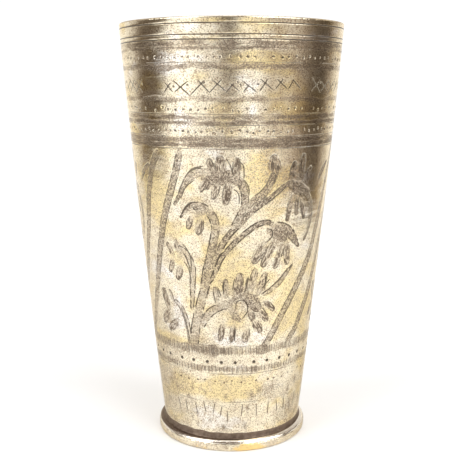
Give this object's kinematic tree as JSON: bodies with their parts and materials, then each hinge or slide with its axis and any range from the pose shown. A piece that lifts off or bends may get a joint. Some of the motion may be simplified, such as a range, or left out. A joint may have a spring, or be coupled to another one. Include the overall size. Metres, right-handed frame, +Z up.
{
  "type": "engraved drinking tumbler",
  "caption": "Tall tapered drinking tumbler of engraved tinned brass with a turned rim and a heavy foot ring.",
  "frame": {"origin": "centre of the foot ring's underside, on the surface the tumbler stands on", "axes": "+Z up along the cup's own axis towards the mouth; the middle of an engraved flower panel faces -Y"},
  "size_m": [0.0918, 0.0918, 0.172],
  "materials": {
    "engraved_wall": "worn tin over engraved brass",
    "base_plate": "dull tinned brass",
    "foot_ring": "worn tin over turned brass",
    "solder": "dark tarnished solder"
  },
  "bodies": {
    "root": {"cup_wall": "engraved_wall", "base_plate": "base_plate", "foot_ring": "foot_ring", "foot_ring_solder": "solder", "base_inner_solder": "solder", "base_under_solder": "solder"}
  },
  "joints": []
}
